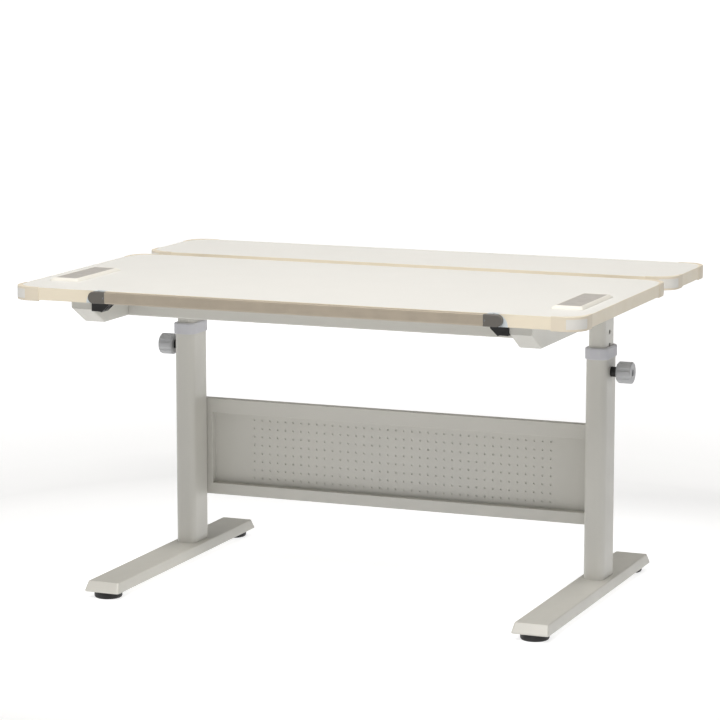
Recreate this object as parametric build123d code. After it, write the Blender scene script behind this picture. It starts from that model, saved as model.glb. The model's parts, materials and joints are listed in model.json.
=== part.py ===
from build123d import *
import os

# Height-adjustable drafting table with a tilting main board and a level rear shelf.
# Millimetres, +X to the right, +Y to the back, +Z up. The origin is on the floor, at the middle of
# the table's width and depth.

# ---------------------------------------------------------------- driving dimensions
TABLE_WIDTH = 1200.0          # both boards, without their corner caps
TABLE_HEIGHT = 660.0          # floor to the boards' top face
BOARD_THICK = 25.0
MAIN_DEPTH = 570.0            # front to back, main board
SLOT_GAP = 45.0               # open slot between the two boards
SHELF_DEPTH = 250.0           # front to back, rear shelf
CORNER_RADIUS = 38.0          # of both boards
EDGE_THICK = 1.5              # edge band

CAP_PROUD = 1.0               # corner caps stand this far out of the boards' edges
CAP_LEG = 61.0                # cap's reach along each edge, from the corner
CAP_INSET = 4.0               # cap's thickness in the board along its legs
CAP_INNER_RADIUS = 50.0
CAP_RISE = 0.8                # above the board's top face
CAP_DROP = 2.5                # below the board's underside
CAP_EDGE_RADIUS = 1.6
INSERT_PROUD = 0.3            # soft insert beyond its cap's round corner
INSERT_REACH = 31.0
INSERT_DEPTH = 2.0
INSERT_LOW = 2.0              # insert's lower edge, above the board's underside
INSERT_HIGH = 4.0             # insert's upper edge, below the board's top face

COLUMN_X = 465.0              # columns, feet and arms, each side of the middle
COLUMN_BACK = 555.0           # columns' centre, behind the main board's front edge
COLUMN_SIZE = (45.0, 80.0)
COLUMN_RADIUS = 14.0
INNER_SIZE = (36.0, 70.0)
INNER_RADIUS = 10.0
STEEL = 2.0                   # wall of tubes, arms and beams
INNER_LOW = 140.0             # lower end of the inner tube with the table at rest
HOLE_PITCH = 27.5             # height steps
HOLES_BELOW = 4               # index holes below the one in use
HOLES_ABOVE = 3
INDEX_Z = 468.0               # lock pins and knobs
SLIDE_GAP = 0.3               # between faces of pieces that slide or turn past each other
RUNNING = 0.05                # radial clearance of pins in their bores

FOOT_FRONT = 112.0            # foot's front end, behind the main board's front edge
FOOT_LENGTH = 691.0
FOOT_WIDTH = 77.0
FOOT_HEIGHT = 21.0
FOOT_RIM = 3.0                # upright lower rim of the foot
FOOT_SIDE_SLOPE = 3.5         # top edge's set-back on the long sides
FOOT_END_SLOPE = 11.0         # and at both ends
FOOT_CORNER = 4.0
FOOT_WALL = 2.5
GLIDE_HEIGHT = 15.0
GLIDE_RADIUS = 29.0
GLIDE_FROM_END = 33.0
GLIDE_STUD_RADIUS = 4.0

COLLAR_PROUD = 3.0            # collar beyond the column, all round
COLLAR_Z = (497.0, 521.0)
COLLAR_WEB = 6.0
COLLAR_LINING = 15.0          # lining's reach down inside the column

ARM_WIDTH = 46.0
ARM_FRONT = 45.0              # arm's front lip, behind the main board's front edge
ARM_BACK = 840.0
ARM_LOW = 581.0
ARM_HIGH = 632.0
BEAM_DEPTH = 28.0
BEAM_HEIGHT = 50.0
FRONT_BEAM_BACK = 208.0       # front beam's front face, behind the main board's front edge
REAR_BEAM_BACK = 690.0
END_PLATE = 4.0

TILT_BACK = 57.0              # tilt axis, behind the main board's front edge
TILT_Z = 620.0
TILT_PIN_RADIUS = 3.5
STAY_LENGTH = 200.0           # tilt axis to stay pivot, and stay pivot to slider
STAY_THICK = 6.0
STAY_WIDTH = 14.0
SLIDER_RADIUS = 6.7
TRACK_REACH = (288.0, 418.0)  # ends of the slider's track, from the tilt axis
TRACK_WIDTH = 24.0
TRACK_SLOT = 8.0

RAIL_OFFSET = 11.5            # book-stop rail's middle, right of the table's middle
RAIL_HALF = 397.0             # bar, to its joint with an end cap
RAIL_CAP_HALF = 434.0         # end cap's rounded end
RAIL_DEPTH = 12.0
RAIL_LOW = 1.0                # rail's lower edge, above the board's underside
RAIL_HEIGHT = 23.0
GUIDE_DEPTH = 14.0
RUNNER_AT = 415.0             # cap's T-shaped runner, from the rail's middle

PANEL_HALF = 474.0
PANEL_Z = (133.5, 345.5)
PANEL_DEPTH = 20.0
WINDOW_HALF = 434.0
WINDOW_Z = (157.5, 315.5)
PANEL_STEEL = 1.5
SHEET_STEEL = 2.0
DIMPLES = (38, 8)             # columns and rows
DIMPLE_PITCH = 18.4
DIMPLE_RADIUS = 2.2
DIMPLE_DEPTH = 1.6

INLAY_X = 536.0
INLAY_BACK = 201.5            # inlay pad's middle, behind the main board's front edge
INLAY_PAD = (48.0, 175.0)
INLAY_HEIGHT = 6.0
INLAY_SEAT = 3.0              # bezel's depth in the board
INLAY_PAD_THICK = 2.5

KNOB_RADIUS = 22.5
KNOB_X = (502.0, 533.5)
KNOB_LOBES = 8
HOUSING_END = 512.0
PIN_RADIUS = 5.0
PIN_TIP = 478.5

# ---------------------------------------------------------------- derived places
OVERALL_DEPTH = RAIL_DEPTH + MAIN_DEPTH + SLOT_GAP + SHELF_DEPTH + CAP_PROUD
FRONT_Y = RAIL_DEPTH - OVERALL_DEPTH / 2
BOARD_LOW = TABLE_HEIGHT - BOARD_THICK
FOOT_TOP = GLIDE_HEIGHT + FOOT_HEIGHT
ARM_IN = COLUMN_X - ARM_WIDTH / 2
ARM_OUT = COLUMN_X + ARM_WIDTH / 2
ARM_FLOOR = ARM_LOW + STEEL


def behind(depth):
    """Y of a place that is this far behind the main board's front edge."""
    return FRONT_Y + depth


COLUMN_Y = behind(COLUMN_BACK)
TILT_Y = behind(TILT_BACK)
STAY_Y = TILT_Y + STAY_LENGTH


# ---------------------------------------------------------------- helpers
def block(x_range, y_range, z_range):
    """Box between two opposite corners."""
    spans = [(high - low, (high + low) / 2) for low, high in (x_range, y_range, z_range)]
    sizes = [size for size, _ in spans]
    middle = [centre for _, centre in spans]
    return Pos(*middle) * Box(*sizes)


def rod(axis, span, place, radius):
    """Round bar along one axis; place is its position on the other two, in X, Y, Z order."""
    low, high = span
    middle = (low + high) / 2
    bar = Cylinder(radius, high - low)
    if axis == "x":
        return Pos(middle, place[0], place[1]) * Rot(0, 90, 0) * bar
    if axis == "y":
        return Pos(place[0], middle, place[1]) * Rot(90, 0, 0) * bar
    return Pos(place[0], place[1], middle) * bar


def front_profile(points, y_range):
    """Solid with an outline in X and Z, spanning y_range."""
    plane = Plane(origin=(0, y_range[1], 0), x_dir=(1, 0, 0), z_dir=(0, -1, 0))
    return extrude(plane * make_face(Polyline(*points, close=True)), y_range[1] - y_range[0])


def rounded_bar(size, radius, z_range, middle=(COLUMN_X, COLUMN_Y)):
    """Upright bar with a rounded-rectangle section."""
    section = RectangleRounded(size[0], size[1], radius)
    return Pos(middle[0], middle[1], z_range[0]) * extrude(section, z_range[1] - z_range[0])


def grown(size, amount):
    """A width and depth, made larger by amount on every side."""
    return (size[0] + 2 * amount, size[1] + 2 * amount)


def screw(head_radius, head_height, shank_radius, shank_length):
    """Socket-head screw along Z, head above zero and shank below."""
    head = rod("z", (0, head_height), (0, 0), head_radius)
    shank = rod("z", (-shank_length, 0), (0, 0), shank_radius)
    socket_depth = head_height * 0.6
    socket = Pos(0, 0, head_height - socket_depth) * extrude(RegularPolygon(head_radius / 2, 6), socket_depth)
    return head + shank - socket


def clearance(shank_radius, shank_length):
    """Hole for a screw's shank, reaching a little past both of its ends."""
    return rod("z", (-shank_length - 0.2, 0.2), (0, 0), shank_radius + RUNNING)


def placed(locations, shape):
    """Copies of one shape, at each location."""
    return [location * shape for location in locations]


def left_of(shape):
    """Mirror image of a right-hand piece."""
    return mirror(shape, about=Plane.YZ)


def both(shapes):
    """Right-hand pieces and their mirror images."""
    return [*shapes, *(left_of(shape) for shape in shapes)]


def turned(x, y, z, rotation):
    """Location at a point with a rotation in degrees about X, Y and Z."""
    return Pos(x, y, z) * Rot(*rotation)


HEAD_DOWN = (180, 0, 0)
HEAD_BACK = (-90, 0, 0)
HEAD_FRONT = (90, 0, 0)
HEAD_RIGHT = (0, 90, 0)
HEAD_UP = (0, 0, 0)


# ---------------------------------------------------------------- feet, glides and columns
FOOT_Y = behind(FOOT_FRONT + FOOT_LENGTH / 2)
GLIDE_YS = [FOOT_Y + end * (FOOT_LENGTH / 2 - GLIDE_FROM_END) for end in (-1, 1)]
BASE_BOLT = (6.0, 5.0, 4.0, 8.5)
BASE_BOLT_PLACES = [
    turned(COLUMN_X + dx, COLUMN_Y + dy, FOOT_TOP - FOOT_WALL, HEAD_DOWN) for dx in (-10, 10) for dy in (-26, 26)
]
PANEL_SCREW = (5.5, 3.0, 3.0, 3.5)
PANEL_SCREW_PLACES = [
    turned(COLUMN_X, COLUMN_Y + COLUMN_SIZE[1] / 2 + PANEL_STEEL, z, HEAD_BACK) for z in (175.0, 300.0)
]


def foot_solid(inset, top):
    """Foot's sloping form, drawn in by inset, with its roof at top above the glides' tops."""
    lower = RectangleRounded(FOOT_WIDTH - 2 * inset, FOOT_LENGTH - 2 * inset, FOOT_CORNER)
    upper_size = (FOOT_WIDTH - 2 * inset - 2 * FOOT_SIDE_SLOPE, FOOT_LENGTH - 2 * inset - 2 * FOOT_END_SLOPE)
    upper = RectangleRounded(*upper_size, FOOT_CORNER)
    rim = extrude(lower, FOOT_RIM)
    slope = loft([Plane.XY.offset(FOOT_RIM) * lower, Plane.XY.offset(top) * upper])
    return rim + slope


def foot():
    """Pressed-steel foot, open below."""
    outer = foot_solid(0, FOOT_HEIGHT)
    outer = fillet(outer.edges().group_by(Axis.Z)[-1], FOOT_CORNER - 1)
    shell = outer - foot_solid(FOOT_WALL, FOOT_HEIGHT - FOOT_WALL)
    bores = placed(BASE_BOLT_PLACES, clearance(BASE_BOLT[2], BASE_BOLT[3]))
    return Pos(COLUMN_X, FOOT_Y, GLIDE_HEIGHT) * shell - bores


def glide_boss(y):
    """Threaded boss under the foot's roof."""
    span = (GLIDE_HEIGHT + SLIDE_GAP, FOOT_TOP - FOOT_WALL)
    hole = rod("z", span, (COLUMN_X, y), GLIDE_STUD_RADIUS + RUNNING)
    return rod("z", span, (COLUMN_X, y), 11) - hole


def glide(side, y):
    """Rubber-faced levelling glide with its threaded stud."""
    x = side * COLUMN_X
    pad = rod("z", (0, GLIDE_HEIGHT - SLIDE_GAP), (x, y), GLIDE_RADIUS)
    pad = fillet(pad.edges().group_by(Axis.Z)[0], 4.5)
    stud = rod("z", (GLIDE_HEIGHT - SLIDE_GAP, FOOT_TOP - FOOT_WALL - 2), (x, y), GLIDE_STUD_RADIUS)
    return pad + stud


def column():
    """Outer tube, with a hole for the lock pin and holes for the panel's screws."""
    z_range = (FOOT_TOP, COLLAR_Z[1] - COLLAR_WEB)
    tube = rounded_bar(COLUMN_SIZE, COLUMN_RADIUS, z_range)
    tube -= rounded_bar(grown(COLUMN_SIZE, -STEEL), COLUMN_RADIUS - STEEL, z_range)
    face = COLUMN_X + COLUMN_SIZE[0] / 2
    pin_hole = rod("x", (face - 2 * STEEL, face + STEEL), (COLUMN_Y, INDEX_Z), PIN_RADIUS + 0.5)
    bores = placed(PANEL_SCREW_PLACES, clearance(PANEL_SCREW[2], PANEL_SCREW[3]))
    return tube - pin_hole - bores


def column_base_plate():
    """Threaded plate welded in the column's foot end."""
    plate = rounded_bar(grown(COLUMN_SIZE, -STEEL), COLUMN_RADIUS - STEEL, (FOOT_TOP, FOOT_TOP + 6))
    return plate - placed(BASE_BOLT_PLACES, clearance(BASE_BOLT[2], BASE_BOLT[3]))


def collar():
    """Plastic collar over the column's top end, with a lining that guides the inner tube."""
    outer = rounded_bar(grown(COLUMN_SIZE, COLLAR_PROUD), COLUMN_RADIUS + COLLAR_PROUD, COLLAR_Z)
    outer = fillet(outer.edges().group_by(Axis.Z)[-1], 3.5)
    outer = fillet(outer.edges().group_by(Axis.Z)[0], 1.5)
    column_end = COLLAR_Z[1] - COLLAR_WEB
    outer -= rounded_bar(COLUMN_SIZE, COLUMN_RADIUS, (COLLAR_Z[0], column_end))
    lining_z = (COLLAR_Z[0] - COLLAR_LINING, column_end)
    lining = rounded_bar(grown(COLUMN_SIZE, -STEEL), COLUMN_RADIUS - STEEL, lining_z)
    passage = rounded_bar(grown(INNER_SIZE, SLIDE_GAP), INNER_RADIUS + SLIDE_GAP, (lining_z[0], COLLAR_Z[1]))
    return outer + lining - passage


# ---------------------------------------------------------------- lock pins and knobs
COLUMN_FACE = COLUMN_X + COLUMN_SIZE[0] / 2
FLANGE_X = 490.5
FLANGE_RADIUS = 6.8
CAVITY_X = (COLUMN_FACE + STEEL, HOUSING_END - 4)


def pin_rod(x_range, radius):
    """Round bar on the lock pin's axis."""
    return rod("x", x_range, (COLUMN_Y, INDEX_Z), radius)


def pin_housing():
    """Neck welded on the column, holding the spring and guiding the pin."""
    neck = pin_rod((COLUMN_FACE, COLUMN_FACE + 10), 10.5)
    sleeve = pin_rod((COLUMN_FACE, HOUSING_END), 9.5)
    cavity = pin_rod(CAVITY_X, FLANGE_RADIUS + 0.8)
    inner_bore = pin_rod((COLUMN_FACE, CAVITY_X[0]), PIN_RADIUS + 0.5)
    outer_bore = pin_rod((CAVITY_X[1], HOUSING_END), PIN_RADIUS + RUNNING)
    return neck + sleeve - cavity - inner_bore - outer_bore


def lock_pin():
    """Pin with a bevelled tip, a flange for the spring and a riveted end that holds the knob."""
    tip = chamfer(pin_rod((PIN_TIP, FLANGE_X), PIN_RADIUS).edges().group_by(Axis.X)[0], 1)
    flange = pin_rod((FLANGE_X, FLANGE_X + 2), FLANGE_RADIUS)
    shaft = pin_rod((FLANGE_X, HOUSING_END + 4), PIN_RADIUS)
    stem = pin_rod((HOUSING_END + 4, KNOB_X[1] - 3), 4)
    head = pin_rod((KNOB_X[1] - 5, KNOB_X[1] - 2), 7)
    return tip + flange + shaft + stem + head


def pin_spring():
    """Coil spring between the pin's flange and the housing's outer end."""
    start = FLANGE_X + 2.6
    length = CAVITY_X[1] - 0.6 - start
    coil = Helix(pitch=length / 5, height=length, radius=6.3)
    wire = sweep(Plane(origin=coil @ 0, z_dir=coil % 0) * Circle(0.5), path=coil)
    return turned(start, COLUMN_Y, INDEX_Z, HEAD_RIGHT) * wire


def knob():
    """Fluted knob, hollow over the housing, turning on the pin's stem."""
    body = pin_rod(KNOB_X, KNOB_RADIUS)
    body = chamfer(body.edges().group_by(Axis.X)[0], 3.5)
    body = fillet(body.edges().group_by(Axis.X)[-1], 2.5)
    for lobe in range(KNOB_LOBES):
        turn = Rot(360 * (lobe + 0.5) / KNOB_LOBES, 0, 0)
        groove = turn * rod("x", KNOB_X, (KNOB_RADIUS + 7, 0), 8.6)
        body -= Pos(0, COLUMN_Y, INDEX_Z) * groove
    hollow = pin_rod((KNOB_X[0], HOUSING_END + 4 + SLIDE_GAP), 9.5 + 0.7)
    bore = pin_rod(KNOB_X, 4 + RUNNING)
    recess = pin_rod((KNOB_X[1] - 5 - SLIDE_GAP, KNOB_X[1]), 7 + 0.4)
    return body - hollow - bore - recess


# ---------------------------------------------------------------- perforated rear panel
PANEL_Y = (COLUMN_Y + COLUMN_SIZE[1] / 2, COLUMN_Y + COLUMN_SIZE[1] / 2 + PANEL_DEPTH)
SHEET_Y = (PANEL_Y[1] - SHEET_STEEL, PANEL_Y[1])


def panel_frame():
    """Folded surround, a channel open to the back that runs round the window."""
    ring = block((-PANEL_HALF, PANEL_HALF), PANEL_Y, PANEL_Z)
    ring -= block((-WINDOW_HALF, WINDOW_HALF), PANEL_Y, WINDOW_Z)
    half = PANEL_HALF - PANEL_STEEL
    window = WINDOW_HALF + PANEL_STEEL
    hollow_y = (PANEL_Y[0] + PANEL_STEEL, PANEL_Y[1])
    hollow = block((-half, half), hollow_y, (PANEL_Z[0] + PANEL_STEEL, PANEL_Z[1] - PANEL_STEEL))
    hollow -= block((-window, window), hollow_y, (WINDOW_Z[0] - PANEL_STEEL, WINDOW_Z[1] + PANEL_STEEL))
    bores = placed(PANEL_SCREW_PLACES, clearance(PANEL_SCREW[2], PANEL_SCREW[3]))
    return ring - hollow - both(bores)


def panel_sheet():
    """Flat sheet with a grid of round dimples in its front, welded in the surround's window."""
    middle_z = sum(WINDOW_Z) / 2
    plane = Plane(origin=(0, SHEET_Y[1], middle_z), x_dir=(1, 0, 0), z_dir=(0, -1, 0))
    window = Rectangle(2 * WINDOW_HALF, WINDOW_Z[1] - WINDOW_Z[0])
    dimples = GridLocations(DIMPLE_PITCH, DIMPLE_PITCH, *DIMPLES) * Circle(DIMPLE_RADIUS)
    back = extrude(plane * window, SHEET_STEEL - DIMPLE_DEPTH)
    return back + extrude(plane.offset(SHEET_STEEL - DIMPLE_DEPTH) * (window - dimples), DIMPLE_DEPTH)


# ---------------------------------------------------------------- lifting frame
TUBE_BOLT = (5.5, 4.0, 3.0, 9.5)
TUBE_BOLT_PLACES = [turned(COLUMN_X + dx, COLUMN_Y + dy, ARM_FLOOR, HEAD_UP) for dx in (-9, 9) for dy in (-22, 22)]
BEAM_SCREW = (5.0, 3.0, 3.0, 5.5)
BEAM_YS = [behind(FRONT_BEAM_BACK), behind(REAR_BEAM_BACK)]
BEAM_SCREW_PLACES = [
    turned(ARM_IN + STEEL, y + BEAM_DEPTH / 2, z, HEAD_RIGHT) for y in BEAM_YS for z in (ARM_LOW + 12, ARM_LOW + 38)
]
SHELF_PLATE_Y = (behind(640), behind(820))
SHELF_SCREW = (5.0, 3.0, 2.5, 18.0)
SHELF_SCREW_PLACES = [
    turned(COLUMN_X, y, ARM_HIGH, HEAD_DOWN) for y in (SHELF_PLATE_Y[0] + 20, SHELF_PLATE_Y[1] - 20)
]


def inner_tube():
    """Sliding tube with a row of index holes on its outer side."""
    z_range = (INNER_LOW, ARM_LOW)
    tube = rounded_bar(INNER_SIZE, INNER_RADIUS, z_range)
    tube -= rounded_bar(grown(INNER_SIZE, -STEEL), INNER_RADIUS - STEEL, z_range)
    face = COLUMN_X + INNER_SIZE[0] / 2
    for step in range(-HOLES_BELOW, HOLES_ABOVE + 1):
        z = INDEX_Z + step * HOLE_PITCH
        tube -= rod("x", (face - 2 * STEEL, face + STEEL), (COLUMN_Y, z), PIN_RADIUS + RUNNING)
    return tube


def tube_shoe():
    """Plastic shoe round the inner tube's lower end."""
    z_range = (INNER_LOW, INNER_LOW + 30)
    shoe = rounded_bar(grown(COLUMN_SIZE, -STEEL - SLIDE_GAP), COLUMN_RADIUS - STEEL - SLIDE_GAP, z_range)
    return shoe - rounded_bar(INNER_SIZE, INNER_RADIUS, z_range)


def tube_nut_plate():
    """Threaded plate welded in the inner tube's top end."""
    plate = rounded_bar(grown(INNER_SIZE, -STEEL), INNER_RADIUS - STEEL, (ARM_LOW - 8, ARM_LOW))
    return plate - placed(TUBE_BOLT_PLACES, clearance(TUBE_BOLT[2], TUBE_BOLT[3]))


def arm():
    """Folded steel channel, open above, with a lip that slopes back from its front end."""
    lip_low = ARM_LOW + 33.5
    outline = [
        (behind(ARM_FRONT), lip_low),
        (behind(ARM_FRONT + 57), ARM_LOW),
        (behind(ARM_BACK - 25), ARM_LOW),
        (behind(ARM_BACK), ARM_LOW + 19),
        (behind(ARM_BACK), ARM_HIGH),
        (behind(TILT_BACK), ARM_HIGH),
        (behind(ARM_FRONT), ARM_HIGH - 3),
    ]
    face = make_face(Polyline(*outline, close=True))
    lower = face.vertices().sort_by(Axis.Y)[:3]
    face = fillet(lower, 12)
    outer = extrude(Plane.YZ.offset(ARM_IN) * face, ARM_WIDTH)
    corners = outer.edges().filter_by(lambda edge: edge.center().Z < ARM_HIGH - 12)
    corners = corners.filter_by(lambda edge: abs(abs(edge.center().X - COLUMN_X) - ARM_WIDTH / 2) < 0.01)
    outer = fillet(corners, 3.5)
    hollow_face = offset(face, -STEEL, kind=Kind.INTERSECTION)
    hollow = extrude(Plane.YZ.offset(ARM_IN + STEEL) * hollow_face, ARM_WIDTH - 2 * STEEL)
    inner_x = (ARM_IN + STEEL, ARM_OUT - STEEL)
    mouth = block(inner_x, (behind(ARM_FRONT) + STEEL, behind(ARM_BACK) - STEEL), (ARM_HIGH - 12, ARM_HIGH + 1))
    bores = placed(TUBE_BOLT_PLACES, clearance(TUBE_BOLT[2], TUBE_BOLT[3]))
    bores += placed(BEAM_SCREW_PLACES, clearance(BEAM_SCREW[2], BEAM_SCREW[3]))
    bores.append(rod("x", (ARM_IN - 1, ARM_IN + STEEL + 1), (TILT_Y, TILT_Z), TILT_PIN_RADIUS + RUNNING))
    bores.append(rod("x", (ARM_IN - 1, ARM_IN + STEEL + 1), (STAY_Y, TILT_Z), PIVOT_RADIUS + RUNNING))
    return outer - hollow - mouth - bores


def beam(y):
    """Box-section cross-beam with a welded plate in each end."""
    y_range = (y, y + BEAM_DEPTH)
    z_range = (ARM_LOW, ARM_LOW + BEAM_HEIGHT)
    tube = block((-ARM_IN, ARM_IN), y_range, z_range)
    tube = fillet(tube.edges().filter_by(Axis.X), 3)
    inner_x = ARM_IN - END_PLATE
    tube -= block((-inner_x, inner_x), (y + STEEL, y_range[1] - STEEL), (z_range[0] + STEEL, z_range[1] - STEEL))
    bores = placed(BEAM_SCREW_PLACES, clearance(BEAM_SCREW[2], BEAM_SCREW[3]))
    return tube - both(bores)


def shelf_plate():
    """Flat plate across the arm's walls, under the rear shelf."""
    plate = block((ARM_IN, ARM_OUT), SHELF_PLATE_Y, (ARM_HIGH, BOARD_LOW))
    return plate - placed(SHELF_SCREW_PLACES, clearance(SHELF_SCREW[2], SHELF_SCREW[3]))


def rest_bumper():
    """Plastic saddle in the arm's mouth, that the main board rests on."""
    y_range = (behind(515), behind(545))
    top = block((ARM_IN, ARM_OUT), y_range, (ARM_HIGH, BOARD_LOW - SLIDE_GAP))
    plug = block((ARM_IN + STEEL, ARM_OUT - STEEL), y_range, (ARM_HIGH - 10, ARM_HIGH))
    return top + plug


# ---------------------------------------------------------------- tilt hinge and stays
PIVOT_RADIUS = 4.0
STAY_X = (COLUMN_X - STAY_THICK / 2, COLUMN_X + STAY_THICK / 2)
WASHER_THICK = 1.2
HINGE_SCREW = (4.5, 3.5, 2.2, 17.0)
HINGE_SCREW_PLACES = [turned(411, behind(back), BOARD_LOW - 7, HEAD_DOWN) for back in (49.5, 64.5)]
BLOCK_FACE = ARM_IN - 0.5
PIN_END = ARM_IN - 17


def hinge_pin():
    """Pin fixed in the arm's inner wall, its head inside the arm."""
    shank = rod("x", (PIN_END, ARM_IN + STEEL), (TILT_Y, TILT_Z), TILT_PIN_RADIUS)
    head = rod("x", (ARM_IN + STEEL, ARM_IN + STEEL + 3), (TILT_Y, TILT_Z), 7)
    return shank + head


def hinge_block():
    """Block under the main board that turns on the hinge pin; its inner end tapers to a wing."""
    outline = [
        (BLOCK_FACE, BOARD_LOW),
        (BLOCK_FACE, BOARD_LOW - 23),
        (BLOCK_FACE - 18, BOARD_LOW - 23),
        (BLOCK_FACE - 22, BOARD_LOW - 24.5),
        (BLOCK_FACE - 37.5, BOARD_LOW - 10),
        (BLOCK_FACE - 37.5, BOARD_LOW),
    ]
    solid = front_profile(outline, (behind(42), behind(72)))
    bore = rod("x", (PIN_END - SLIDE_GAP, ARM_IN), (TILT_Y, TILT_Z), TILT_PIN_RADIUS + RUNNING)
    pockets = [place * rod("z", (0, 30), (0, 0), HINGE_SCREW[0] + 0.5) for place in HINGE_SCREW_PLACES]
    shanks = placed(HINGE_SCREW_PLACES, clearance(HINGE_SCREW[2], HINGE_SCREW[3]))
    return solid - bore - pockets - shanks


def stay():
    """Flat bar from its pivot on the arm to the slider in the track."""
    middle = STAY_Y + STAY_LENGTH / 2
    plane = Plane(origin=(STAY_X[0], middle, TILT_Z), x_dir=(0, 1, 0), z_dir=(1, 0, 0))
    bar = extrude(plane * SlotCenterToCenter(STAY_LENGTH, STAY_WIDTH), STAY_THICK)
    eye = rod("x", STAY_X, (STAY_Y, TILT_Z), PIVOT_RADIUS + RUNNING)
    axle = rod("x", STAY_X, (STAY_Y + STAY_LENGTH, TILT_Z), 3)
    return bar - eye - axle


def stay_slider():
    """Nylon slider: a disc each side of the stay, joined by an axle."""
    place = (STAY_Y + STAY_LENGTH, TILT_Z)
    inner = rod("x", (STAY_X[0] - 6, STAY_X[0]), place, SLIDER_RADIUS)
    outer = rod("x", (STAY_X[1], STAY_X[1] + 6), place, SLIDER_RADIUS)
    return inner + outer + rod("x", STAY_X, place, 3)


def pivot_bolt():
    """Bolt that carries the stay, its head on the arm's inner side."""
    head = rod("x", (ARM_IN - 4, ARM_IN), (STAY_Y, TILT_Z), 7)
    shank = rod("x", (ARM_IN, STAY_X[1] + 9), (STAY_Y, TILT_Z), PIVOT_RADIUS)
    return head + shank


def pivot_rings():
    """Spacer, two friction washers and a lock nut on the pivot bolt."""
    washer_in = STAY_X[0] - SLIDE_GAP
    washer_out = STAY_X[1] + SLIDE_GAP
    spans = [
        ((ARM_IN + STEEL, washer_in - WASHER_THICK), 7.0),
        ((washer_in - WASHER_THICK, washer_in), 8.5),
        ((washer_out, washer_out + WASHER_THICK), 8.5),
        ((washer_out + WASHER_THICK, washer_out + WASHER_THICK + 6), 6.5),
    ]
    hole = rod("x", (ARM_IN, ARM_OUT), (STAY_Y, TILT_Z), PIVOT_RADIUS)
    return [rod("x", span, (STAY_Y, TILT_Z), radius) - hole for span, radius in spans]


TRACK_Y = (TILT_Y + TRACK_REACH[0], TILT_Y + TRACK_REACH[1])
TRACK_Z = (BOARD_LOW - TRACK_WIDTH, BOARD_LOW)
TRACK_SCREW = (3.5, 2.0, 1.8, 14.0)
TRACK_SCREW_PLACES = [
    turned(COLUMN_X, y, BOARD_LOW - STEEL, HEAD_DOWN) for y in (TRACK_Y[0] + 12, TRACK_Y[1] - 6)
]


def stay_track():
    """C-section track under the main board, its slot facing down."""
    half = TRACK_WIDTH / 2
    track = block((COLUMN_X - half, COLUMN_X + half), TRACK_Y, TRACK_Z)
    track -= block((COLUMN_X - half + STEEL, COLUMN_X + half - STEEL), TRACK_Y, (TRACK_Z[0] + STEEL, TRACK_Z[1] - STEEL))
    track -= block((COLUMN_X - TRACK_SLOT / 2, COLUMN_X + TRACK_SLOT / 2), TRACK_Y, (TRACK_Z[0], TRACK_Z[0] + STEEL))
    return track - placed(TRACK_SCREW_PLACES, clearance(TRACK_SCREW[2], TRACK_SCREW[3]))


# ---------------------------------------------------------------- boards, edge bands and corner caps
class Board:
    """A rounded board's outline and its corners."""

    def __init__(self, front_back, depth):
        self.depth = depth
        self.middle_y = behind(front_back + depth / 2)

    def slab(self, inset, radius, z_range):
        """Rounded slab, drawn in by inset on every side."""
        size = grown((TABLE_WIDTH, self.depth), -inset)
        return rounded_bar(size, radius, z_range, (0, self.middle_y))

    def corner_windows(self, reach, z_range):
        """Box over each corner, reaching along both edges."""
        windows = []
        past = 5
        for side in (-1, 1):
            for end in (-1, 1):
                xs = sorted((side * (TABLE_WIDTH / 2 - reach), side * (TABLE_WIDTH / 2 + past)))
                edge_y = self.middle_y + end * self.depth / 2
                ys = sorted((edge_y - end * reach, edge_y + end * past))
                windows.append(block(xs, ys, z_range))
        return windows

    def cap_pockets(self):
        """What the caps take out of the board's corners."""
        z_range = (BOARD_LOW - 1, TABLE_HEIGHT + 1)
        keep = self.slab(CAP_INSET, CAP_INNER_RADIUS, z_range)
        return [window - keep for window in self.corner_windows(CAP_LEG, z_range)]

    def core(self):
        """Board inside its edge band."""
        z_range = (BOARD_LOW, TABLE_HEIGHT)
        return self.slab(EDGE_THICK, CORNER_RADIUS - EDGE_THICK, z_range) - self.cap_pockets()

    def edge_band(self):
        """Band along the four edges, between the caps."""
        z_range = (BOARD_LOW, TABLE_HEIGHT)
        ring = self.slab(0, CORNER_RADIUS, z_range) - self.slab(EDGE_THICK, CORNER_RADIUS - EDGE_THICK, z_range)
        return ring - self.cap_pockets()

    def insert_ring(self):
        """Ring that the soft inserts are cut from."""
        z_range = (BOARD_LOW + INSERT_LOW, TABLE_HEIGHT - INSERT_HIGH)
        proud = CAP_PROUD + INSERT_PROUD
        inner_inset = INSERT_DEPTH - CAP_PROUD
        ring = self.slab(-proud, CORNER_RADIUS + proud, z_range)
        return ring - self.slab(inner_inset, CORNER_RADIUS - inner_inset, z_range)

    def inserts(self):
        """Soft insert round each cap's corner."""
        ring = self.insert_ring()
        z_range = (BOARD_LOW, TABLE_HEIGHT)
        return [ring & window for window in self.corner_windows(INSERT_REACH, z_range)]

    def caps(self):
        """Moulded cap on each corner, with a pocket for its insert."""
        z_range = (BOARD_LOW - CAP_DROP, TABLE_HEIGHT + CAP_RISE)
        outer = self.slab(-CAP_PROUD, CORNER_RADIUS + CAP_PROUD, z_range)
        outer = fillet(outer.edges().group_by(Axis.Z)[-1], CAP_RISE)
        outer = fillet(outer.edges().group_by(Axis.Z)[0], CAP_EDGE_RADIUS)
        ring = outer - self.slab(CAP_INSET, CAP_INNER_RADIUS, z_range)
        pockets = [
            self.insert_ring() & window for window in self.corner_windows(INSERT_REACH, (BOARD_LOW, TABLE_HEIGHT))
        ]
        caps = [ring & window for window in self.corner_windows(CAP_LEG, z_range)]
        return [cap - pocket for cap, pocket in zip(caps, pockets)]


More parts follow.
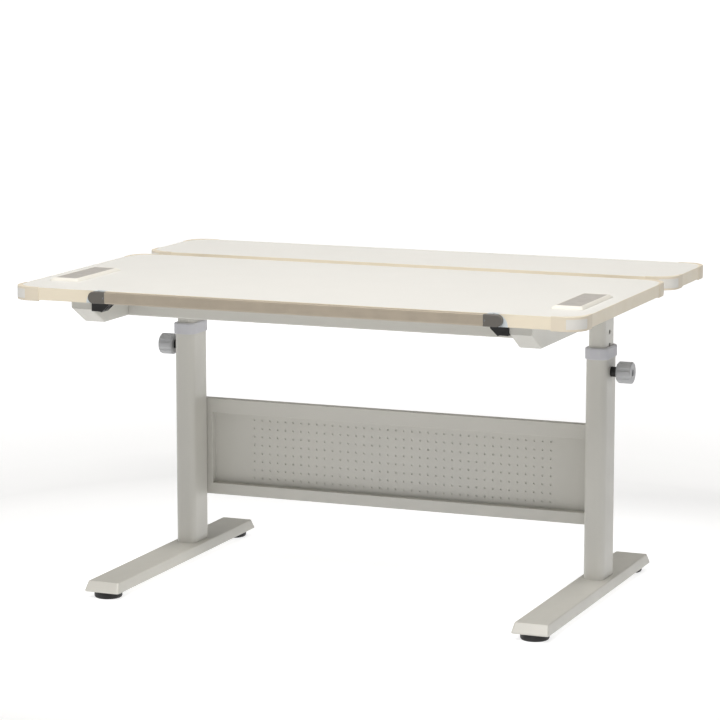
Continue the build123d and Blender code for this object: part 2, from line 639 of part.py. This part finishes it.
MAIN = Board(0, MAIN_DEPTH)
SHELF = Board(MAIN_DEPTH + SLOT_GAP, SHELF_DEPTH)


# ---------------------------------------------------------------- inlays in the main board's front corners
INLAY_RIM = (9.0, 12.0)
INLAY_TOP = TABLE_HEIGHT + INLAY_HEIGHT
INLAY_SIZE = (INLAY_PAD[0] + 2 * INLAY_RIM[0], INLAY_PAD[1] + 2 * INLAY_RIM[1])


def inlay_seat():
    """Lower part of the bezel, let into the board."""
    place = Pos(INLAY_X, behind(INLAY_BACK), TABLE_HEIGHT - INLAY_SEAT)
    return place * extrude(RectangleRounded(*INLAY_SIZE, 4), INLAY_SEAT)


def inlay_frame():
    """Raised bezel with a shallow pocket; its walls slope, most at the front."""
    place = Pos(INLAY_X, behind(INLAY_BACK), 0)
    lower = Plane.XY.offset(TABLE_HEIGHT) * RectangleRounded(*INLAY_SIZE, 4)
    upper = Plane.XY.offset(INLAY_TOP) * RectangleRounded(*grown(INLAY_PAD, 3.5), 3)
    half_width, half_length = (side / 2 for side in INLAY_PAD)
    pocket = block((-half_width, half_width), (-half_length, half_length), (INLAY_TOP - 3, INLAY_TOP))
    return place * (loft([lower, upper]) - pocket) + inlay_seat()


def inlay_pad():
    """Flat pad in the bezel's pocket."""
    place = Pos(INLAY_X, behind(INLAY_BACK), INLAY_TOP - 3)
    return place * extrude(Rectangle(*INLAY_PAD), INLAY_PAD_THICK)


# ---------------------------------------------------------------- sliding book stop
RAIL_Z = (BOARD_LOW + RAIL_LOW, BOARD_LOW + RAIL_LOW + RAIL_HEIGHT)
RAIL_Y = (behind(-RAIL_DEPTH), behind(-SLIDE_GAP))
RUNNER_Z = (RAIL_Z[0] + 2, RAIL_Z[1] - 1)
GUIDE_SCREW = (4.0, 2.0, 1.8, 14.0)
GUIDE_SCREW_PLACE = turned(376 - RAIL_OFFSET, behind(40), BOARD_LOW, HEAD_DOWN)
CAP_SCREW = (1.6, 1.0, 1.2, 5.0)
CAP_SCREW_PLACE = turned(RAIL_HALF + 3, RAIL_Y[0] + CAP_SCREW[1], sum(RAIL_Z) / 2, HEAD_FRONT)


def at_rail_end(side, shape):
    """A right-hand piece at one end of the rail, whose middle is off the table's middle."""
    shape = shape if side > 0 else left_of(shape)
    return Pos(RAIL_OFFSET, 0, 0) * shape


def guide_solid():
    """Rail guide's outline, rounded at its outer end, set into the board's front edge."""
    plane = Plane(origin=(0, behind(GUIDE_DEPTH), 0), x_dir=(1, 0, 0), z_dir=(0, -1, 0))
    top = (RAIL_CAP_HALF - 10.5, TABLE_HEIGHT)
    shoulder = (RAIL_CAP_HALF + 4, TABLE_HEIGHT - 10)
    bottom = (RAIL_CAP_HALF + 9, BOARD_LOW)
    inner = RUNNER_AT - 13
    outline = [
        ThreePointArc(bottom, shoulder, top),
        Polyline(top, (inner, TABLE_HEIGHT), (inner, BOARD_LOW), bottom),
    ]
    return extrude(plane * make_face(outline), GUIDE_DEPTH)


def rail_guide():
    """Guide with a T-shaped slot, open at the top, for the cap's runner."""
    slot_z = (RUNNER_Z[0] - SLIDE_GAP, TABLE_HEIGHT)
    stem = block((RUNNER_AT - 3, RUNNER_AT + 3), (behind(0), behind(3)), slot_z)
    head = block((RUNNER_AT - 7, RUNNER_AT + 7), (behind(3), behind(6.6)), slot_z)
    return guide_solid() - stem - head


def rail_bar():
    """Hollow aluminium bar with softened front edges."""
    bar = block((RAIL_OFFSET - RAIL_HALF, RAIL_OFFSET + RAIL_HALF), RAIL_Y, RAIL_Z)
    front = bar.edges().filter_by(Axis.X).group_by(Axis.Y)[0].sort_by(Axis.Z)
    bar = fillet(front[-1], 1.5)
    front = bar.edges().filter_by(Axis.X).group_by(Axis.Y)[0].sort_by(Axis.Z)
    bar = fillet(front[0], 4)
    wall = 1.5
    hollow_y = (RAIL_Y[0] + wall, RAIL_Y[1] - wall)
    span = (RAIL_OFFSET - RAIL_HALF, RAIL_OFFSET + RAIL_HALF)
    bar -= block(span, hollow_y, (RAIL_Z[0] + 3, RAIL_Z[1] - wall))
    return bar


def rail_cap():
    """End cap with a rounded end and a T-shaped runner on its back."""
    body = block((RAIL_HALF, RAIL_CAP_HALF), RAIL_Y, RAIL_Z)
    round_edges = body.edges().filter_by(Axis.Y).group_by(Axis.X)[-1]
    body = fillet(round_edges, RAIL_HEIGHT / 2 - 0.5)
    rim = body.edges().group_by(Axis.Y)[0].filter_by(lambda edge: edge.center().X > RAIL_HALF + 0.1)
    body = fillet(rim, 1.5)
    stem = block((RUNNER_AT - 2.7, RUNNER_AT + 2.7), (RAIL_Y[1], behind(3.3)), RUNNER_Z)
    head = block((RUNNER_AT - 6.7, RUNNER_AT + 6.7), (behind(3.3), behind(6.3)), RUNNER_Z)
    bore = CAP_SCREW_PLACE * clearance(CAP_SCREW[2], CAP_SCREW[3])
    countersink = CAP_SCREW_PLACE * rod("z", (0, CAP_SCREW[1]), (0, 0), CAP_SCREW[0])
    return body + stem + head - bore - countersink


def cap_screw():
    """Small flush screw in the front of an end cap, next to its joint with the bar."""
    return CAP_SCREW_PLACE * screw(*CAP_SCREW)


# ---------------------------------------------------------------- assembly
UNDERSIDE_SCREWS = [
    (HINGE_SCREW, HINGE_SCREW_PLACES),
    (TRACK_SCREW, TRACK_SCREW_PLACES),
]


def underside_screws():
    """Screws of the hinge blocks, tracks and rail guides, in the main board's underside."""
    screws = []
    for sizes, places in UNDERSIDE_SCREWS:
        screws += both(placed(places, screw(*sizes)))
    screws += [at_rail_end(side, GUIDE_SCREW_PLACE * screw(*GUIDE_SCREW)) for side in (-1, 1)]
    return screws


def underside_bores():
    """Their holes in the board."""
    bores = []
    for sizes, places in UNDERSIDE_SCREWS:
        bores += both(placed(places, clearance(sizes[2], sizes[3])))
    hole = GUIDE_SCREW_PLACE * clearance(GUIDE_SCREW[2], GUIDE_SCREW[3])
    bores += [at_rail_end(side, hole) for side in (-1, 1)]
    return bores


def nodes():
    """Every piece of the table, by name."""
    guides = [at_rail_end(side, guide_solid()) for side in (-1, 1)]
    shelf_bores = both(placed(SHELF_SCREW_PLACES, clearance(SHELF_SCREW[2], SHELF_SCREW[3])))
    pieces = {
        "column_base_plates": both([column_base_plate()]),
        "column_base_bolts": both(placed(BASE_BOLT_PLACES, screw(*BASE_BOLT))),
        "column_collars": both([collar()]),
        "pin_housings": both([pin_housing()]),
        "glide_bosses": both([glide_boss(y) for y in GLIDE_YS]),
        "panel_frame": [panel_frame()],
        "panel_sheet": [panel_sheet()],
        "panel_screws": both(placed(PANEL_SCREW_PLACES, screw(*PANEL_SCREW))),
        "tube_shoes": both([tube_shoe()]),
        "tube_nut_plates": both([tube_nut_plate()]),
        "tube_bolts": both(placed(TUBE_BOLT_PLACES, screw(*TUBE_BOLT))),
        "front_beam": [beam(BEAM_YS[0])],
        "rear_beam": [beam(BEAM_YS[1])],
        "beam_screws": both(placed(BEAM_SCREW_PLACES, screw(*BEAM_SCREW))),
        "rear_shelf": [SHELF.core() - shelf_bores],
        "rear_shelf_edge": [SHELF.edge_band()],
        "shelf_corner_caps": SHELF.caps(),
        "shelf_cap_inserts": SHELF.inserts(),
        "shelf_plates": both([shelf_plate()]),
        "shelf_screws": both(placed(SHELF_SCREW_PLACES, screw(*SHELF_SCREW))),
        "hinge_pins": both([hinge_pin()]),
        "stay_pivot_bolts": both([pivot_bolt()]),
        "stay_pivot_rings": both(pivot_rings()),
        "rest_bumpers": both([rest_bumper()]),
        "main_board": [MAIN.core() - underside_bores() - guides - both([inlay_seat()])],
        "main_board_edge": [MAIN.edge_band() - guides],
        "main_corner_caps": MAIN.caps(),
        "main_cap_inserts": MAIN.inserts(),
        "hinge_blocks": both([hinge_block()]),
        "stay_tracks": both([stay_track()]),
        "underside_screws": underside_screws(),
        "inlay_frames": both([inlay_frame()]),
        "inlay_pads": both([inlay_pad()]),
        "rail_guides": [at_rail_end(side, rail_guide()) for side in (-1, 1)],
        "rail_bar": [rail_bar()],
        "rail_cap_screws": [at_rail_end(side, cap_screw()) for side in (-1, 1)],
    }
    for side, name in ((-1, "left"), (1, "right")):
        pieces[f"{name}_rail_cap"] = [at_rail_end(side, rail_cap())]
        for end, y in zip(("front", "rear"), GLIDE_YS):
            pieces[f"{end}_{name}_glide"] = [glide(side, y)]
    handed = {
        "foot": foot,
        "column": column,
        "lock_pin": lock_pin,
        "pin_spring": pin_spring,
        "knob": knob,
        "inner_tube": inner_tube,
        "arm": arm,
        "stay": stay,
        "stay_slider": stay_slider,
    }
    for node, make in handed.items():
        right = make()
        pieces[f"right_{node}"] = [right]
        pieces[f"left_{node}"] = [left_of(right)]
    return pieces


def save(node, shapes):
    """One STEP file, holding the node's separate solids."""
    solids = [solid for shape in shapes for solid in shape.solids()]
    export_step(solids[0] if len(solids) == 1 else Compound(solids), f"parts/{node}.step")


os.makedirs("parts", exist_ok=True)
for node_name, node_shapes in nodes().items():
    save(node_name, node_shapes)
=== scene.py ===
import json
import math

import bmesh
import bpy
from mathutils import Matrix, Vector

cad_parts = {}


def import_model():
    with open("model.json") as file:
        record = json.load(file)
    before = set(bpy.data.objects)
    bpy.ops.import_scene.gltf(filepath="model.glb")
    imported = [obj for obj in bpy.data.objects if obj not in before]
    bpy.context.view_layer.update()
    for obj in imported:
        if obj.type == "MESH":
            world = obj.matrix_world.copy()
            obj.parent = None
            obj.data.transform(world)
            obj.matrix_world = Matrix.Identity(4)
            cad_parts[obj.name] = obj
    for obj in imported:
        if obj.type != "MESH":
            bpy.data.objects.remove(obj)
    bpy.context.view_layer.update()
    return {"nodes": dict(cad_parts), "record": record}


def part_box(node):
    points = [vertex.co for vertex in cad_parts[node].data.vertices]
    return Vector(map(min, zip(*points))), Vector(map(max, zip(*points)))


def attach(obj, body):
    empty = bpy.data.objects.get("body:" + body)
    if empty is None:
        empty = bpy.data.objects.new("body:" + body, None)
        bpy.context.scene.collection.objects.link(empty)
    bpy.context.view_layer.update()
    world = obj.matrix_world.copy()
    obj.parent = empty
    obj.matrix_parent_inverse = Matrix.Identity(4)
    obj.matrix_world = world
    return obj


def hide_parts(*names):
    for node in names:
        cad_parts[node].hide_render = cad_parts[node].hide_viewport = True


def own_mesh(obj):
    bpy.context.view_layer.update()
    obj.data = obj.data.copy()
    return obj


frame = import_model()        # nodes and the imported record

# The drafting table's looks. Metres, in the imported frame: +X right, +Y back, +Z up.

WHITE = (1.0, 1.0, 1.0, 1.0)
BEVEL_SAMPLES = 6


# ---------------------------------------------------------------- small node helpers
def linear(red, green, blue):
    """Scene colour from 0-255 display values."""
    def channel(value):
        share = value / 255
        return share / 12.92 if share <= 0.04045 else ((share + 0.055) / 1.055) ** 2.4
    return (channel(red), channel(green), channel(blue), 1.0)


class Finish:
    """One procedural material and the nodes that feed its shader."""

    def __init__(self, name, colour, roughness):
        self.material = bpy.data.materials.new(name)
        self.material.use_nodes = True
        self.tree = self.material.node_tree
        self.shader = self.tree.nodes["Principled BSDF"]
        self.colour = None
        self.height = None
        self.set("Base Color", colour)
        self.set("Roughness", roughness)
        self.base = colour

    def set(self, socket, value):
        """Sets one of the shader's own values."""
        self.shader.inputs[socket].default_value = value
        return self

    def node(self, kind, **settings):
        """Adds a node, with its settings."""
        made = self.tree.nodes.new(kind)
        for key, value in settings.items():
            setattr(made, key, value)
        return made

    def link(self, source, target):
        """Feeds one socket from another."""
        self.tree.links.new(source, target)

    def noise(self, scale, detail=3.0, stretch=(1, 1, 1)):
        """Noise in the piece's own metres, about 0 to 1; scale is in repeats per metre."""
        place = self.node("ShaderNodeTexCoord")
        mapping = self.node("ShaderNodeMapping")
        mapping.inputs["Scale"].default_value = stretch
        self.link(place.outputs["Object"], mapping.inputs["Vector"])
        noise = self.node("ShaderNodeTexNoise")
        noise.inputs["Scale"].default_value = scale
        noise.inputs["Detail"].default_value = detail
        self.link(mapping.outputs["Vector"], noise.inputs["Vector"])
        return noise.outputs["Fac"]

    def span(self, value, low, high, start=0.35, end=0.65):
        """Value from start to end, spread over low to high."""
        spread = self.node("ShaderNodeMapRange")
        for name, number in zip(("From Min", "From Max", "To Min", "To Max"), (start, end, low, high)):
            spread.inputs[name].default_value = number
        self.link(value, spread.inputs["Value"])
        return spread.outputs["Result"]

    def larger(self, first, second):
        """The larger of two values."""
        return self.maths("MAXIMUM", first, second)

    def maths(self, operation, first, second):
        """Result of one operation on two values."""
        result = self.node("ShaderNodeMath", operation=operation)
        self.link(first, result.inputs[0])
        self.link(second, result.inputs[1])
        return result.outputs["Value"]

    def tint(self, share, other):
        """Mixes another colour in by a 0-1 share."""
        mix = self.node("ShaderNodeMix", data_type="RGBA")
        colours = [socket for socket in mix.inputs if socket.type == "RGBA"]
        self.link(share, mix.inputs["Factor"])
        colours[1].default_value = other
        if self.colour is None:
            colours[0].default_value = self.base
        else:
            self.link(self.colour, colours[0])
        self.colour = next(socket for socket in mix.outputs if socket.type == "RGBA")
        self.link(self.colour, self.shader.inputs["Base Color"])
        return self

    def edges(self, radius):
        """0 on flat faces, towards 1 where the surface turns within radius."""
        bevel = self.node("ShaderNodeBevel", samples=BEVEL_SAMPLES)
        bevel.inputs["Radius"].default_value = radius
        flat = self.node("ShaderNodeNewGeometry")
        dot = self.node("ShaderNodeVectorMath", operation="DOT_PRODUCT")
        self.link(bevel.outputs["Normal"], dot.inputs[0])
        self.link(flat.outputs["Normal"], dot.inputs[1])
        return self.span(dot.outputs["Value"], 1.0, 0.0, 0.86, 0.99)

    def rough(self, scale, low, high, stretch=(1, 1, 1)):
        """Roughness that drifts over the surface."""
        self.link(self.span(self.noise(scale, 4.0, stretch), low, high), self.shader.inputs["Roughness"])
        return self

    def bump(self, scale, depth, strength=1.0, stretch=(1, 1, 1), detail=3.0):
        """Fine relief, depth in metres, laid over any relief made before."""
        bump = self.node("ShaderNodeBump")
        bump.inputs["Strength"].default_value = strength
        bump.inputs["Distance"].default_value = depth
        self.link(self.noise(scale, detail, stretch), bump.inputs["Height"])
        if self.height is not None:
            self.link(self.height, bump.inputs["Normal"])
        self.height = bump.outputs["Normal"]
        self.link(self.height, self.shader.inputs["Normal"])
        return self

    def soften(self, radius):
        """Rounds the light on edges that are sharp in the mesh."""
        bevel = self.node("ShaderNodeBevel", samples=BEVEL_SAMPLES)
        bevel.inputs["Radius"].default_value = radius
        self.height = bevel.outputs["Normal"]
        self.link(self.height, self.shader.inputs["Normal"])
        return self


# ---------------------------------------------------------------- materials
def white_laminate():
    """Satin melamine: a pearl grain, faint hand marks and very light scratches."""
    look = Finish("white_laminate_finish", linear(218, 217, 213), 0.42).soften(0.0006)
    look.tint(look.span(look.noise(1.6, 2.0), 0.0, 0.2), linear(215, 215, 212))
    look.tint(look.span(look.noise(900, 2.0), 0.0, 0.06), linear(190, 186, 178))
    look.rough(9, 0.41, 0.45)
    look.bump(1500, 0.00005, 0.5)
    look.bump(260, 0.00003, 0.25, (0.25, 1, 1))
    return look.material


def edge_band():
    """Cream edge band, with the fine lines that extrusion leaves along it."""
    look = Finish("edge_band_finish", linear(221, 211, 191), 0.45).soften(0.0008)
    look.tint(look.span(look.noise(6, 3.0), 0.0, 0.4), linear(214, 205, 186))
    look.tint(look.edges(0.0007), linear(232, 225, 211))
    look.rough(30, 0.38, 0.52)
    look.bump(900, 0.00004, 0.5, (0.03, 0.03, 1))
    return look.material


def corner_cap_plastic():
    """Cream moulded plastic with a fine spark-eroded texture."""
    look = Finish("corner_cap_finish", linear(212, 202, 184), 0.5).soften(0.0006)
    look.tint(look.span(look.noise(24, 2.0), 0.0, 0.3), linear(204, 194, 176))
    look.tint(look.edges(0.0008), linear(230, 222, 206))
    look.rough(60, 0.44, 0.58)
    look.bump(2200, 0.00004, 0.6)
    return look.material


def cap_insert():
    """Soft light-grey bumper."""
    look = Finish("cap_insert_finish", linear(212, 210, 205), 0.6).soften(0.0006)
    look.tint(look.span(look.noise(40, 2.0), 0.0, 0.3), linear(203, 201, 197))
    look.rough(80, 0.55, 0.68)
    look.bump(2600, 0.00005, 0.6)
    look.set("Sheen Weight", 0.15)
    return look.material


def white_powder_coat():
    """Satin powder coat: orange peel, fine grain, a little brighter on worn edges."""
    look = Finish("powder_coat_finish", linear(202, 200, 193), 0.42).soften(0.0008)
    look.tint(look.span(look.noise(3.5, 2.0), 0.0, 0.4), linear(197, 196, 191))
    look.tint(look.span(look.noise(1400, 2.0), 0.0, 0.08), linear(170, 168, 160))
    look.tint(look.edges(0.0009), linear(218, 217, 211))
    look.rough(14, 0.36, 0.50)
    look.bump(420, 0.00010, 0.35)
    look.bump(2400, 0.00003, 0.4)
    look.set("Coat Weight", 0.12)
    look.set("Coat Roughness", 0.25)
    return look.material


def metal(name, colour, other, low, high, stretch, metallic=1.0):
    """Bare metal with brushed or drawn lines."""
    look = Finish(name, colour, low).soften(0.0004)
    look.set("Metallic", metallic)
    look.tint(look.span(look.noise(30, 3.0), 0.0, 0.6), other)
    look.rough(350, low, high, stretch)
    look.bump(1800, 0.00003, 0.4, stretch)
    return look


def bare_steel():
    """Zinc-plated steel."""
    grey = (linear(158, 160, 162), linear(138, 141, 145))
    return metal("zinc_plate_finish", *grey, 0.28, 0.42, (1, 0.08, 1)).material


def screw_steel():
    """Turned fasteners, a little darker and shinier."""
    grey = (linear(150, 152, 155), linear(120, 122, 126))
    return metal("fastener_finish", *grey, 0.2, 0.34, (1, 1, 0.2)).material


def spring_steel():
    """Drawn spring wire."""
    grey = (linear(132, 134, 137), linear(104, 106, 110))
    return metal("spring_wire_finish", *grey, 0.22, 0.36, (0.2, 1, 1)).material


def rail_aluminium():
    """Champagne-grey anodised bar, drawn along its length."""
    grey = (linear(176, 165, 149), linear(166, 156, 141))
    look = metal("anodised_rail_finish", *grey, 0.38, 0.5, (0.02, 1, 1), 0.55)
    look.tint(look.edges(0.0010), linear(206, 199, 186))
    return look.material


def plastic(name, colour, other, low, high, grain=2200, depth=0.00005, edge=None):
    """Moulded plastic with a fine texture and slightly rubbed edges."""
    look = Finish(name, colour, low).soften(0.0006)
    look.tint(look.span(look.noise(26, 3.0), 0.0, 0.5), other)
    if edge is not None:
        look.tint(look.edges(0.0009), edge)
    look.rough(70, low, high)
    look.bump(grain, depth, 0.6)
    return look


def collar_plastic():
    """Light blue-grey collar."""
    tones = (linear(196, 196, 201), linear(188, 188, 194))
    return plastic("collar_finish", *tones, 0.42, 0.55, edge=linear(214, 214, 218)).material


def knob_plastic():
    """Grey fluted knob."""
    tones = (linear(184, 185, 187), linear(173, 174, 177))
    return plastic("knob_finish", *tones, 0.4, 0.55, edge=linear(204, 205, 206)).material


def black_plastic():
    """Black plastic."""
    tones = (linear(18, 18, 19), linear(12, 12, 13))
    return plastic("black_plastic_finish", *tones, 0.38, 0.55, 1600, 0.00006, linear(40, 40, 42)).material


def glide_rubber():
    """Black rubber glide, dusty and scuffed at its rim."""
    tones = (linear(12, 12, 13), linear(19, 18, 18))
    return plastic("glide_finish", *tones, 0.42, 0.62, 1400, 0.00008, linear(44, 43, 42)).material


def rail_cap_plastic():
    """Dark grey end caps of the book stop."""
    tones = (linear(94, 91, 86), linear(86, 83, 78))
    return plastic("rail_cap_finish", *tones, 0.36, 0.5, edge=linear(126, 123, 118)).material


def guide_plastic():
    """Light blue-grey rail guides."""
    tones = (linear(196, 203, 206), linear(186, 193, 197))
    return plastic("guide_finish", *tones, 0.4, 0.5, edge=linear(214, 219, 221)).material


def nylon():
    """Natural nylon."""
    tones = (linear(222, 220, 210), linear(212, 209, 197))
    look = plastic("nylon_finish", *tones, 0.4, 0.5)
    look.set("Subsurface Weight", 0.1)
    look.set("Subsurface Scale", 0.002)
    return look.material


def inlay_frame_plastic():
    """White moulded bezel."""
    tones = (linear(216, 213, 205), linear(211, 208, 200))
    return plastic("bezel_finish", *tones, 0.42, 0.5, 2400, 0.00002).material


def inlay_pad():
    """Grey pad with a fine leatherette grain."""
    look = Finish("pad_finish", linear(167, 163, 158), 0.55).soften(0.0004)
    look.tint(look.span(look.noise(50, 3.0), 0.0, 0.6), linear(158, 154, 150))
    look.tint(look.span(look.noise(1100, 2.0), 0.0, 0.25), linear(136, 132, 129))
    look.rough(60, 0.5, 0.66)
    look.bump(1100, 0.00010, 0.7)
    return look.material


MAKERS = {
    "white_laminate": white_laminate,
    "edge_band": edge_band,
    "corner_cap_plastic": corner_cap_plastic,
    "cap_insert": cap_insert,
    "white_powder_coat": white_powder_coat,
    "bare_steel": bare_steel,
    "screw_steel": screw_steel,
    "spring_steel": spring_steel,
    "collar_plastic": collar_plastic,
    "knob_plastic": knob_plastic,
    "black_plastic": black_plastic,
    "glide_rubber": glide_rubber,
    "rail_aluminium": rail_aluminium,
    "rail_cap_plastic": rail_cap_plastic,
    "guide_plastic": guide_plastic,
    "nylon": nylon,
    "inlay_frame_plastic": inlay_frame_plastic,
    "inlay_pad": inlay_pad,
}
FINISHES = {slot: make() for slot, make in MAKERS.items()}
SLOT_OF = {part["node"]: part["material_slot"] for part in frame["record"]["subparts"]}


def add_object(name, data):
    """New object in the scene."""
    made = bpy.data.objects.new(name, data)
    bpy.context.scene.collection.objects.link(made)
    return made


def dress(piece, slot):
    """Gives a piece its slot's finish all over."""
    piece.data.materials.clear()
    piece.data.materials.append(FINISHES[slot])


for node_name, node_object in frame["nodes"].items():
    dress(node_object, SLOT_OF[node_name])


# ---------------------------------------------------------------- bezels round the inlay pads
BEZEL_PROFILE = [
    # share of the way in from the outer edge, share of the height above the board
    (0.00, -0.45), (0.00, 0.00), (0.03, 0.12), (0.10, 0.24), (0.30, 0.50), (0.55, 0.79), (0.72, 0.94),
    (0.82, 0.99), (0.90, 1.00), (0.96, 0.97), (1.00, 0.88), (1.00, 0.20),
]
BEZEL_CORNER = (0.0065, 0.0025)     # outer and inner corner radius
CORNER_STEPS = 10


def right_side(node):
    """Low and high corner of a node's right-hand piece."""
    points = [point.co for point in frame["nodes"][node].data.vertices if point.co.x > 0]
    return [[pick(point[axis] for point in points) for axis in range(3)] for pick in (min, max)]


def round_loop(low, high, radius, height):
    """Rounded rectangle at one height, anticlockwise."""
    loop = []
    corners = [
        (high[0], high[1], 1, 1),
        (low[0], high[1], -1, 1),
        (low[0], low[1], -1, -1),
        (high[0], low[1], 1, -1),
    ]
    for turn, (x, y, side, end) in enumerate(corners):
        for step in range(CORNER_STEPS + 1):
            angle = (turn + step / CORNER_STEPS) * math.pi / 2
            loop.append((
                x - side * radius + radius * math.cos(angle),
                y - end * radius + radius * math.sin(angle),
                height,
            ))
    return loop


def between(start, end, share):
    """Value at a share of the way from start to end."""
    return start + (end - start) * share


def bridge(mesh, rings):
    """Faces between each ring of points and the next."""
    for below, above in zip(rings, rings[1:]):
        for index in range(len(below)):
            after = (index + 1) % len(below)
            mesh.faces.new((below[index], below[after], above[after], above[index]))


def bezels():
    """Soft-edged bezel round both pads, its slope leading up to the pad."""
    outer = right_side("inlay_frames")
    inner = right_side("inlay_pads")
    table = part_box("main_board")[1][2]
    rise = outer[1][2] - table
    mesh = bmesh.new()
    for mirror in (1, -1):
        rings = []
        for share, lift in BEZEL_PROFILE:
            low = [between(outer[0][axis], inner[0][axis], share) for axis in (0, 1)]
            high = [between(outer[1][axis], inner[1][axis], share) for axis in (0, 1)]
            loop = round_loop(low, high, between(*BEZEL_CORNER, share), table + rise * lift)
            rings.append([mesh.verts.new((mirror * x, y, z)) for x, y, z in loop])
        bridge(mesh, rings)
    bmesh.ops.recalc_face_normals(mesh, faces=mesh.faces)
    for face in mesh.faces:
        face.smooth = True
    data = bpy.data.meshes.new("inlay_bezels")
    mesh.to_mesh(data)
    mesh.free()
    piece = add_object("inlay_bezels", data)
    dress(piece, "inlay_frame_plastic")
    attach(piece, "main_top")
    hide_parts("inlay_frames")


bezels()


def pin_spring(side):
    """Copy of the pin's spring coil, the coil that pushes on the collar, carried by the pin slide."""
    node = f"{side}_pin_spring"
    coil = add_object(f"{side}_spring_coil", frame["nodes"][node].data.copy())
    dress(coil, "spring_steel")
    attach(coil, f"{side}_pin_slide")
    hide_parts(node)
    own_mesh(coil)


for pin_side in ("left", "right"):
    pin_spring(pin_side)


# ---------------------------------------------------------------- floor, light and camera
FLOOR_PROFILE = [
    # radius and height
    (0.5, 0.0), (46.0, 0.0), (48.4, 0.3), (49.5, 0.9), (50.0, 2.0), (50.0, 4.0),
]
FLOOR_STEPS = 96
FLOOR_GREY = 0.42
# The floor's glow, which paints light and shade onto the floor: value at the start and at the end, then
# where they are.
# Painted light: under the table the floor glows at 0.80, which fills the table's shadow and lights the
# parts under the board.
PAINTED_LIGHT_UNDER_TABLE = (0.80, 0.42, 0.6, 1.4)     # by distance from the table's middle
GLOW_BEYOND = (0.42, 1.0, 1.0, 3.6)
# Painted shade: in front of the table the glow drops to 0.30, which takes light off the fronts of the
# arms and the beam.
PAINTED_SHADE_FRONT_NEAR = (0.30, 1.0, -1.7, -1.0)      # share of the glow in front of the table, by Y
PAINTED_SHADE_FRONT_FAR = (1.0, 0.30, -6.0, -3.0)


def floor_mesh():
    """Wide round floor that turns up at its far rim."""
    points = []
    for radius, height in FLOOR_PROFILE:
        for step in range(FLOOR_STEPS):
            angle = 2 * math.pi * step / FLOOR_STEPS
            points.append((radius * math.cos(angle), radius * math.sin(angle), height))
    faces = [tuple(range(FLOOR_STEPS))]
    for ring in range(len(FLOOR_PROFILE) - 1):
        for step in range(FLOOR_STEPS):
            near = ring * FLOOR_STEPS + step
            beside = ring * FLOOR_STEPS + (step + 1) % FLOOR_STEPS
            faces.append((near, near + FLOOR_STEPS, beside + FLOOR_STEPS, beside))
    mesh = bpy.data.meshes.new("floor")
    mesh.from_pydata(points, [], faces)
    return mesh


def floor_with_painted_light():
    """Matt pale floor with a glow of its own that paints light and shade: strong under the table to fill
    its shadow and light the parts above, dimmed in front of the table, and white far off.
    """
    look = Finish("floor_with_painted_light", (FLOOR_GREY, FLOOR_GREY, FLOOR_GREY, 1.0), 0.75)
    look.rough(3, 0.7, 0.8)
    look.set("Specular IOR Level", 0.2)
    look.set("Emission Color", WHITE)
    place = look.node("ShaderNodeTexCoord")
    reach = look.node("ShaderNodeVectorMath", operation="LENGTH")
    look.link(place.outputs["Object"], reach.inputs[0])
    axes = look.node("ShaderNodeSeparateXYZ")
    look.link(place.outputs["Object"], axes.inputs["Vector"])
    distance = reach.outputs["Value"]
    glow = look.larger(look.span(distance, *PAINTED_LIGHT_UNDER_TABLE), look.span(distance, *GLOW_BEYOND))
    share = look.larger(look.span(axes.outputs["Y"], *PAINTED_SHADE_FRONT_NEAR), look.span(axes.outputs["Y"], *PAINTED_SHADE_FRONT_FAR))
    look.link(look.maths("MULTIPLY", glow, share), look.shader.inputs["Emission Strength"])
    return look.material


def pale_floor():
    """The floor that the table stands on."""
    mesh = floor_mesh()
    floor = add_object("floor", mesh)
    mesh.materials.append(floor_with_painted_light())


def softbox(name, place, aim, size, power, colour):
    """Rectangular area light, aimed at a point."""
    light = bpy.data.lights.new(name, "AREA")
    light.shape = "RECTANGLE"
    light.size, light.size_y = size
    light.energy = power
    light.color = colour
    lamp = add_object(name, light)
    lamp.location = place
    lamp.rotation_euler = (Vector(aim) - Vector(place)).to_track_quat("-Z", "Y").to_euler()


def world(strength):
    """Even white surround that lights the table softly."""
    surround = bpy.data.worlds.new("surround")
    surround.use_nodes = True
    background = surround.node_tree.nodes["Background"]
    background.inputs["Color"].default_value = WHITE
    background.inputs["Strength"].default_value = strength
    bpy.context.scene.world = surround


CAMERA_PLACE = (2.2633, -5.6449, 1.4636)
CAMERA_DOWN = 9.17          # degrees below level
CAMERA_TURN = 22.0          # degrees to the table's right
LENS = 148.55               # mm, on a sensor 36 mm wide


def camera():
    """Long lens from the front right, a little above the boards."""
    lens = bpy.data.cameras.new("camera")
    lens.lens = LENS
    lens.sensor_width = 36.0
    lens.clip_end = 200.0
    seen = add_object("camera", lens)
    seen.location = CAMERA_PLACE
    seen.rotation_euler = (math.radians(90 - CAMERA_DOWN), 0.0, math.radians(CAMERA_TURN))
    bpy.context.scene.camera = seen


pale_floor()
softbox("overhead", (0.0, 0.9, 3.6), (0.0, 0.2, 0.4), (4.0, 3.0), 112.0, (1.0, 0.98, 0.95))
softbox("front_high", (0.5, -3.1, 3.75), (0.1, 0.0, 0.5), (3.4, 0.5), 172.0, (1.0, 0.98, 0.95))
softbox("left_window", (-4.4, -0.6, 2.2), (0.0, 0.0, 0.5), (2.4, 2.0), 16.0, (0.90, 0.95, 1.0))
world(0.05)
camera()
bpy.context.scene.view_settings.view_transform = "Standard"
bpy.context.scene.view_settings.look = "None"
